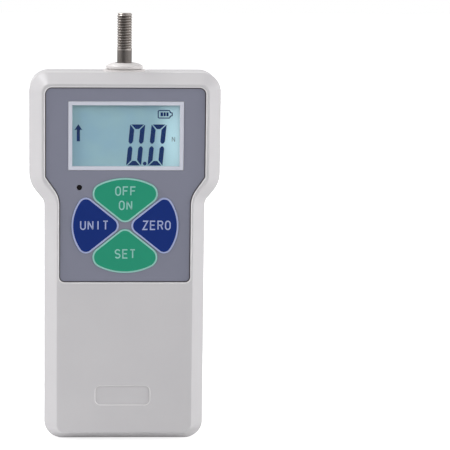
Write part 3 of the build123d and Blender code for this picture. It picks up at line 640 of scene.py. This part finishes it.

# %% [markdown]
# ## The film's border
# The printed film is cut a little smaller than the recess it lies in. A dark line along its cut edge
# is painted shade, in place of the shadow that the recess's wall casts on the film. Its outline is a
# polygon with rounded corners: each corner is an arc tangent to the two sides that meet there, and
# going round it turns the direction of travel evenly from one side to the other. The outward normal
# is that direction turned a quarter to the right.

# %% Film border
def rounded(corners, radii, steps=9):
    """Points and outward normals, counterclockwise: at each corner, centre plus radius by normal."""
    corners = np.asarray(corners, float)
    into, out = corners - np.roll(corners, 1, 0), np.roll(corners, -1, 0) - corners
    heading, leaving = np.arctan2(into[:, 1], into[:, 0]), np.arctan2(out[:, 1], out[:, 0])
    turn = (leaving - heading + np.pi) % (2 * np.pi) - np.pi
    signed = np.asarray(radii) * np.sign(turn)
    ahead = np.stack([np.cos(heading), np.sin(heading)], -1)
    leftward = np.stack([-np.sin(heading), np.cos(heading)], -1)
    tangent = np.asarray(radii) * np.tan(np.abs(turn) / 2)
    centres = corners - ahead * tangent[:, None] + leftward * signed[:, None]
    angle = heading[:, None] + turn[:, None] * np.linspace(0, 1, steps)
    normals = np.stack([np.sin(angle), -np.cos(angle)], -1)
    points = centres[:, None] + normals * signed[:, None, None]
    return points.reshape(-1, 2), normals.reshape(-1, 2)


film_low, film_high = (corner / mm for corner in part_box("panel_film"))
grip_half = 24.95
shoulder_low, shoulder_high = 95.4, 103.0
right_side = [
    (grip_half, film_low.z), (grip_half, shoulder_low),
    (film_high.x, shoulder_high), (film_high.x, film_high.z),
]
left_side = [(-x, z) for x, z in reversed(right_side)]
corner_radii = [1.9, 10.0, 1.2, 2.5]
film_points, film_normals = rounded(right_side + left_side, corner_radii + corner_radii[::-1])
line_width = 0.32
line_lift = 0.02
border_section = np.array([
    (-line_width, -line_lift), (line_lift, -line_lift), (line_lift, line_lift), (-line_width, line_lift),
])
# painted shade: a thin dark strip lying on the film along its edge
border = ring(film_points, film_normals, border_section, film_low.y * mm)
add_piece("film_border", [border], "film_border", "panel_film", "housing")

# %% [markdown]
# ## Painted highlights on the edges of the two recesses
# The rounded edges of the panel's and the label's recess get a painted highlight: a skin of near-white,
# smoother plastic, so that they look lit while the grained faces beside them stay the shell's grey.
# Each edge gets a skin a few hundredths of a millimetre thick: an arc just inside the plastic's round
# edge and an arc just outside it, which stop short of the wall below and of the front face above. The
# panel's recess is a little larger than its film.

# %% Recess edges
film_gap = 0.1
panel_edge = 0.5
label_edge = 0.35
label_centre = np.array([-0.6, 18.5])
label_half = np.array([20.95, 7.3]) / 2
label_radius = 2.0
skin_under, skin_over = 0.03, 0.015
skin_top, skin_foot = 110, 172
front_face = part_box("front_shell")[0].y


def edge_skin(radius, gap=0.0):
    """Section over a rounded edge: its centre lies a radius outside the recess and below the face."""
    inner, outer = radius - skin_under, radius + skin_over
    centre = (gap + radius, -radius)
    inside = arc(*centre, inner, inner, skin_foot, skin_top, 7)
    outside = arc(*centre, outer, outer, skin_top, skin_foot, 7)
    return np.concatenate([inside, outside])


label_corners = label_centre + label_half * [(1, -1), (1, 1), (-1, 1), (-1, -1)]
label_points, label_normals = rounded(label_corners, [label_radius] * 4)
# painted highlight skins over the rounded edges of both recesses
for name, skin in (
    ("panel_recess_edge", ring(film_points, film_normals, edge_skin(panel_edge, film_gap), front_face)),
    ("label_recess_edge", ring(label_points, label_normals, edge_skin(label_edge), front_face)),
):
    add_piece(name, [skin], "polished_edge", "housing_plastic", "housing", smooth=40)

# %% [markdown]
# ## The lettering
# The keys say what they do in plain engraver's capitals: one even stroke along a centre line. Each
# letter is a few paths in a box that reaches from -1 to 1 both ways, and a path that ends where it
# starts is closed. A path becomes a solid by the same carrying as before, with a flat bar as the
# section. At a bend the bar has to stay full width, so its direction is the sum of the two
# neighbouring normals divided by one plus their dot product.

# %% Strokes
def line(*corners):
    """The corners of a broken line as an array."""
    return np.array(corners, float)


def joined(*stretches):
    """One path from several stretches, end to end."""
    return np.concatenate(stretches)


letters = {
    "O": [joined(arc(0, 0.35, 1, 0.65, 0, 180), arc(0, -0.35, 1, 0.65, 180, 360), line((1, 0.35)))],
    "F": [line((-1, -1), (-1, 1), (1, 1)), line((-1, 0.05), (0.75, 0.05))],
    "N": [line((-1, -1), (-1, 1)), line((-1, 1), (1, -1)), line((1, -1), (1, 1))],
    "U": [joined(line((-1, 1)), arc(0, -0.4, 1, 0.6, 180, 360), line((1, 1)))],
    "I": [line((0, -1), (0, 1))],
    "T": [line((-1, 1), (1, 1)), line((0, 1), (0, -1))],
    "Z": [line((-1, 1), (1, 1), (-1, -1), (1, -1))],
    "E": [line((1, 1), (-1, 1), (-1, -1), (1, -1)), line((-1, 0.05), (0.75, 0.05))],
    "R": [
        joined(line((-1, -1), (-1, 1), (0.3, 1)), arc(0.3, 0.52, 0.7, 0.48, 90, -90), line((-1, 0.04))),
        line((0.15, 0.04), (1, -1)),
    ],
    "S": [joined(arc(0, 0.5, 1, 0.5, 25, 270, 16), arc(0, -0.5, 1, 0.5, 90, -155, 16))],
}
print_lift = 0.03
print_root = 0.02
sharpest_bend = 0.25


def rightward(directions):
    """Each direction turned a quarter to the right."""
    return np.stack([directions[:, 1], -directions[:, 0]], -1)


def stroke(path, width, face, lift=print_lift):
    """A flat bar along a path in mm: the mitred normal at every point carries a rectangle."""
    apart = np.linalg.norm(np.diff(path, axis=0), axis=1) > 1e-6
    path = path[np.concatenate([[True], apart])]
    closed = np.allclose(path[0], path[-1])
    if closed:
        path = path[:-1]
    ahead = np.roll(path, -1, axis=0) - path
    ahead /= np.linalg.norm(ahead, axis=1, keepdims=True)
    behind = np.roll(ahead, 1, axis=0)
    if not closed:
        ahead[-1], behind[0] = behind[-1], ahead[0]
    first, second = rightward(behind), rightward(ahead)
    bend = 1 + np.sum(first * second, axis=1, keepdims=True)
    mitre = (first + second) / np.maximum(bend, sharpest_bend)
    half = width / 2
    bar = np.array([[-half, -print_root], [-half, lift], [half, lift], [half, -print_root]])
    faces = grid_faces(len(path), 4, wrap_rows=True) if closed else stack_faces(len(path), 4)
    return carried(path, mitre, bar, face), faces


print("letters", *letters)

# %% [markdown]
# The letters stand at an even pitch, each centred in its place, as on a stencil. A legend is a list of
# words, each with the place of its middle in mm.

# %% Key legends
letter_half_size = [0.87, 1.58]
letter_pitch = 2.86
letter_stroke = 0.48
legends = {
    "on_off": [("OFF", 0.15, 97.7), ("ON", 0.15, 92.25)],
    "set": [("SET", 0.1, 73.6)],
    "zero": [("ZERO", 12.0, 84.6)],
    "unit": [("UNIT", -11.7, 84.6)],
}


def word(text, centre_x, centre_z):
    """The strokes of a word on the keys' faces whose middle is at the given place, in mm."""
    parts = []
    for index, letter in enumerate(text):
        middle = centre_x + (index - (len(text) - 1) / 2) * letter_pitch
        for path in letters[letter]:
            parts.append(stroke(path * letter_half_size + [middle, centre_z], letter_stroke, key_face))
    return parts


for key, words in legends.items():
    parts = [part for text, x, z in words for part in word(text, x, z)]
    add_piece("legend_" + key, parts, *key_inks[key], key + "_key")

# %% [markdown]
# ## What the display shows
# The display's figures are seven-segment noughts that lean to the right. One segment is a bar whose
# ends are cut along the diagonals so that neighbours never touch. Leaning is a shear: each point
# moves right in proportion to its height. The outlines are flat polygons that get a little
# thickness, like the film inside a real display.

# %% Figures
figure_half_width = 2.85
figure_half_height = 7.8
segment = 1.75
top_gap = 0.45
side_gap = 0.25
foot_start, foot_bend, foot_end = 1.35, 0.62, 0.45
lean = math.tan(math.radians(5.3))
figure_z = 115.1
figures_x = (3.9, 12.0)
point_place, point_radius = (7.4, 108.05), 0.72
glass_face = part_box("display_glass")[0].y
figure_root = 0.005


def flat_piece(outline):
    """A closed outline in mm made a thin solid that stands out of the display's glass."""
    front, back = glass_face / mm - print_lift, glass_face / mm + figure_root
    layers = [np.insert(outline, 1, depth, axis=1) for depth in (front, back)]
    return np.concatenate(layers) * mm, stack_faces(2, len(outline))


def segments():
    """The six lit segments of a nought, centred on the origin, before it leans."""
    x, z, t = figure_half_width, figure_half_height, segment
    end = x - top_gap
    top = line((-end, z), (end, z), (end - t, z - t), (t - end, z - t))
    side = line(
        (-x, z - side_gap), (-x + 0.12, z - 0.1), (-x + t, z - t - side_gap), (-x + t, foot_start),
        (-x + 0.75 * t, foot_bend), (-x + 0.5 * t, foot_end), (-x + 0.25 * t, foot_bend), (-x, foot_start),
    )
    upper = [top, side, side * [-1, 1]]
    return upper + [half * [1, -1] for half in upper]


def nought(centre_x):
    """The segments leaning to the right, with their middle at the given place."""
    shear = np.array([[1, 0], [lean, 1]])
    return [flat_piece(outline @ shear + [centre_x, figure_z]) for outline in segments()]


figures = [part for centre_x in figures_x for part in nought(centre_x)]
figures.append(flat_piece(arc(*point_place, point_radius, point_radius, 0, 345, 24)))
add_piece("display_figures", figures, "display_ink", "display_glass", "housing")

# %% [markdown]
# An arrow shows which way the shaft is loaded, a battery outline with three bars shows the charge,
# and a small N stands for newtons.

# %% Symbols
arrow_place = [-17.8, 119.55]
arrow = line(
    (-0.6, -3.1), (0.6, -3.1), (0.6, 1.3), (1.5, 1.15), (0, 3.4), (-1.5, 1.15), (-0.6, 1.3)
)
add_piece("load_arrow", [flat_piece(arrow + arrow_place)], "display_ink", "display_glass", "housing")

battery_place = [14.75, 126.75]
battery_line = 0.4
bar_half_height = 0.75
cell_outline = line(
    (-2.1, -1.4), (1.8, -1.4), (2.1, -1.1), (2.1, -0.7), (2.9, -0.5), (2.9, 0.5), (2.1, 0.7),
    (2.1, 1.1), (1.8, 1.4), (-2.1, 1.4), (-2.4, 1.1), (-2.4, -1.1), (-2.1, -1.4),
)
battery = [stroke(cell_outline + battery_place, battery_line, glass_face)]
for bar_x, bar_width in ((-1.05, 0.95), (0.05, 0.8), (1.1, 0.8)):
    bar = line((bar_x, -bar_half_height), (bar_x, bar_half_height))
    battery.append(stroke(bar + battery_place, bar_width, glass_face))
add_piece("battery_symbol", battery, "display_ink", "display_glass", "housing")

unit_place, unit_half_size, unit_stroke = [18.2, 117.3], [0.5, 0.85], 0.24
newton = [stroke(path * unit_half_size + unit_place, unit_stroke, glass_face) for path in letters["N"]]
add_piece("unit_mark", newton, "faint_ink", "display_glass", "housing")

# %% [markdown]
# ## The housing screws
# Four screws with a cross recess hold the shells together from behind. A head is a stack of closed
# curves: circles for the shank and the rounded edge, then the outline of a plus sign, then a smaller
# plus at the bottom of the recess. In polar form a plus is the larger of two bars' radii, and with
# the same number of points on every curve the whole screw is one grid.

# %% Cross-head screws
screw_low, screw_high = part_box("housing_screws")
head_radius = 2.8 * mm
head_height = 2.2 * mm
head_edge = 0.5 * mm
shank_radius = 1.5 * mm
point_end, point_length = 1.1 * mm, 0.5 * mm
cross_half_width, cross_reach, cross_depth = 0.42 * mm, 1.55 * mm, 1.2 * mm
bottom_width, bottom_reach = 0.6 * cross_half_width, 0.55 * cross_reach
lower_screw_x = 22.5 * mm
upper_screw = (screw_high.x - head_radius, screw_high.z - head_radius)
lower_screw = (lower_screw_x, screw_low.z + head_radius)
screw_places = [(side * x, z) for side in (-1, 1) for x, z in (upper_screw, lower_screw)]


def plus_radius(angle, half_width, reach):
    """Radius of a plus sign at an angle: the farther of its two bars."""
    cosine, sine = np.abs(np.cos(angle)) + 1e-9, np.abs(np.sin(angle)) + 1e-9
    upright = np.minimum(half_width / cosine, reach / sine)
    level = np.minimum(half_width / sine, reach / cosine)
    return np.maximum(upright, level)


def ring_angles():
    """Angles that all the curves share: every 7.5 degrees, and the corners of the plus sign."""
    corner = math.atan2(cross_half_width, cross_reach)
    marks = [0, corner, math.pi / 4, math.pi / 2 - corner]
    quarter = np.unique(np.concatenate([np.linspace(0, math.pi / 2, 13)[:-1], marks]))
    return np.concatenate([quarter + turn * math.pi / 2 for turn in range(4)])


def screw_rings(angle):
    """Radii and depth of each closed curve, from the screw's point to the bottom of its recess."""
    seat = screw_high.y - head_height
    circles = [
        (point_end, screw_low.y), (shank_radius, screw_low.y + point_length),
        (shank_radius, seat), (head_radius, seat),
    ]
    for bend in np.linspace(0, math.pi / 2, 5):
        radius = head_radius - head_edge * (1 - math.cos(bend))
        circles.append((radius, screw_high.y - head_edge * (1 - math.sin(bend))))
    rings = [(np.full(len(angle), radius), depth) for radius, depth in circles]
    rings.append((plus_radius(angle, cross_half_width, cross_reach), screw_high.y))
    rings.append((plus_radius(angle, bottom_width, bottom_reach), screw_high.y - cross_depth))
    return np.array([radii for radii, _ in rings]), np.array([[depth] for _, depth in rings])


angle = ring_angles()
radii, depths = screw_rings(angle)
depths = np.broadcast_to(depths, radii.shape)
screws = []
for x, z in screw_places:
    points = np.stack([x + radii * np.cos(angle), depths, z + radii * np.sin(angle)], -1)
    screws.append((points.reshape(-1, 3), stack_faces(*radii.shape)))
screw_piece = add_piece("cross_head_screws", screws, "screw_steel", "screw_steel", "housing", smooth=35)
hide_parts("housing_screws")

# %% [markdown]
# ## Contacts in the data port
# Five gold strips run along the tongue inside the port, where the plug's springs touch them.

# %% Port contacts
tongue_low, tongue_high = (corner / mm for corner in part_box("data_port_tongue"))
contact_pitch = 0.9
contact_width, contact_lift = 0.4, 0.04
contact_start, contact_end = tongue_low.x + 1.2, tongue_high.x - 0.5
contacts = []
for step in range(-2, 3):
    z = (tongue_low.z + tongue_high.z) / 2 + step * contact_pitch
    strip = line((contact_start, z), (contact_end, z))
    contacts.append(stroke(strip, contact_width, tongue_low.y * mm, contact_lift))
add_piece("port_contacts", contacts, "jack_pin", "jack_pin", "housing")

# %% [markdown]
# ## Light
# The world lights the gauge evenly with a weak grey. What it looks like is set apart from that: rays
# that come straight from the camera or through glass see white, so the background is white without
# more light falling on the gauge. Rays that come off a shiny surface see white too, but for a dark
# stretch in front of the gauge and a little to its left, like the dark half of a studio. It gives
# the steel shaft its dark band, and keeps haze off the display's window and the dark keys.

# %% World
fill_grey, white = (0.2, 0.2, 0.21, 1), (1, 1, 1, 1)
dark_middle, dark_inner, dark_outer = -0.25, 0.32, 0.7
dark_front, dark_back = -0.1, 0.3
darkness = 0.88

world = bpy.data.worlds.new("world")
world.use_nodes = True
bpy.context.scene.world = world
tree = world.node_tree
direction = node(tree, "ShaderNodeTexCoord", output="Generated")
across = node(tree, "ShaderNodeSeparateXYZ", {}, [direction], output="X")
depth = node(tree, "ShaderNodeSeparateXYZ", {}, [direction], output="Y")
beside = (across - dark_middle).size().step(dark_inner, dark_outer)
dark_stretch = (1 - beside) * (1 - depth.step(dark_front, dark_back))
mirror_sees = ray_is(tree, "Glossy") * (1 - dark_stretch * darkness)
seen = (ray_is(tree, "Camera") + ray_is(tree, "Transmission") + mirror_sees).math("MINIMUM", 1.0)
sky = blend(tree, seen, fill_grey, white)
feed(tree, tree.nodes["Background"], "Color", sky)
print("world nodes", len(tree.nodes))

# %% [markdown]
# ## Lamps
# Two soft boxes, one on each side, make the sloping border brighter than the flat face, as on a
# product table. A small lamp high in front casts the thin shadow under the upper edge of the sunk
# panel, and one behind lights the top of the head. The boxes would mirror as hard squares, so
# shiny surfaces see only the lamp behind and a smaller card in place of the right box.

# %% Lamps
lamp_aim = Vector((0, 0, 0.075))
right_place = (0.92, -0.30, 0.55)


def lamp(name, place, size, power, mirrored):
    """Square area lamp of a size in metres, turned towards the middle of the gauge."""
    light = bpy.data.lights.new(name, "AREA")
    light.size = size
    light.energy = power
    holder = bpy.data.objects.new(name, light)
    bpy.context.collection.objects.link(holder)
    holder.location = place
    holder.rotation_euler = (Vector(place) - lamp_aim).to_track_quat("Z", "Y").to_euler()
    holder.visible_glossy = mirrored


lamp("back_box", (-0.45, 0.4, 1.0), 0.4, 4.6, mirrored=True)
lamp("right_card", right_place, 0.6, 2.2, mirrored=True)
lamp("right_box", right_place, 1.0, 8.2, mirrored=False)
lamp("left_box", (-0.92, -0.24, 0.45), 0.7, 6.1, mirrored=False)
lamp("front_key", (0.45, -0.85, 0.95), 0.22, 0.7, mirrored=False)
print("lamps", len(bpy.data.lights))

# %% [markdown]
# ## Floor
# The floor is a matt pale sheet that catches the gauge's shadow. Seen directly it also glows, more
# with the distance, so that it meets the white background without a visible edge. Shiny surfaces see
# it dark in front of the gauge, where they see the world dark too.

# %% Floor
floor_half = 4.0
floor_pale, floor_dark = (0.8, 0.8, 0.8, 1), (0.1, 0.1, 0.1, 1)
dark_from, dark_to = -0.02, -0.1
glow_always, glow_near, glow_more = 0.14, 0.55, 0.35
near, far = 0.1, 0.6

floor_mesh = bpy.data.meshes.new("floor")
corners = [(x * floor_half, y * floor_half, 0) for x, y in ((-1, -1), (1, -1), (1, 1), (-1, 1))]
floor_mesh.from_pydata(corners, [], [(0, 1, 2, 3)])
floor = bpy.data.objects.new("floor", floor_mesh)
bpy.context.collection.objects.link(floor)

sheet, tree, shader = new_material("floor_sheet")
in_front = ray_is(tree, "Glossy") * (1 - coordinate(tree, "Y").step(dark_to, dark_from))
feed(tree, shader, "Base Color", blend(tree, in_front, floor_pale, floor_dark))
shader.inputs["Roughness"].default_value = 1.0
shader.inputs["Specular IOR Level"].default_value = 0.0
seen_glow = length(tree, place_on(tree)).step(near, far) * glow_more + glow_near
feed(tree, shader, "Emission Strength", seen_glow * ray_is(tree, "Camera") + glow_always)
shader.inputs["Emission Color"].default_value = (1, 1, 1, 1)
floor_mesh.materials.append(sheet)
print("floor", 2 * floor_half, "m square")

# %% [markdown]
# ## Finishing
# The view transform is Standard, so that a colour comes out as it was written.

# %% Finish
bpy.context.scene.view_settings.view_transform = "Standard"
